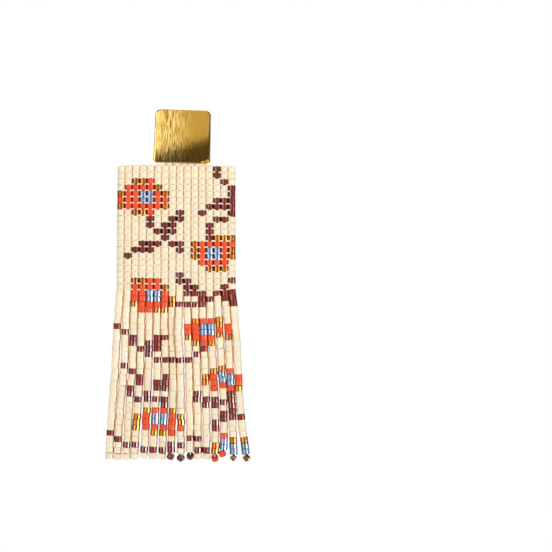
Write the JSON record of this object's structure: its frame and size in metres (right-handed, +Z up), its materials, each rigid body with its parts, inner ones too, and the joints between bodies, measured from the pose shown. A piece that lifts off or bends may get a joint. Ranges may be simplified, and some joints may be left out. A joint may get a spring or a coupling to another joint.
{
  "type": "beaded fringe earring",
  "caption": "Drop earring with a square brushed stud on a straight ear post, and a loomed seed-bead panel whose columns run on as a fringe of beaded strands.",
  "frame": {"origin": "where the ear post meets the back face of the stud's plate, at the front of the lobe", "axes": "+Z up with the earring hanging, +X to the viewer's right, +Y from the plate along the ear post; the front faces -Y"},
  "size_m": [0.0328, 0.0124, 0.08],
  "materials": {
    "brushed_gold": "brushed gold plate",
    "seed_beads": "opaque glossy glass",
    "beading_thread": "white nylon thread"
  },
  "bodies": {
    "root": {"stud": "brushed_gold", "woven_panel": "seed_beads", "fringe_strand_01": "seed_beads", "fringe_strand_02": "seed_beads", "fringe_strand_03": "seed_beads", "fringe_strand_04": "seed_beads", "fringe_strand_05": "seed_beads", "fringe_strand_06": "seed_beads", "fringe_strand_07": "seed_beads", "fringe_strand_08": "seed_beads", "fringe_strand_09": "seed_beads", "fringe_strand_10": "seed_beads", "fringe_strand_11": "seed_beads", "fringe_strand_12": "seed_beads", "fringe_strand_13": "seed_beads", "fringe_strand_14": "seed_beads", "fringe_strand_15": "seed_beads", "fringe_strand_16": "seed_beads"}
  },
  "joints": []
}
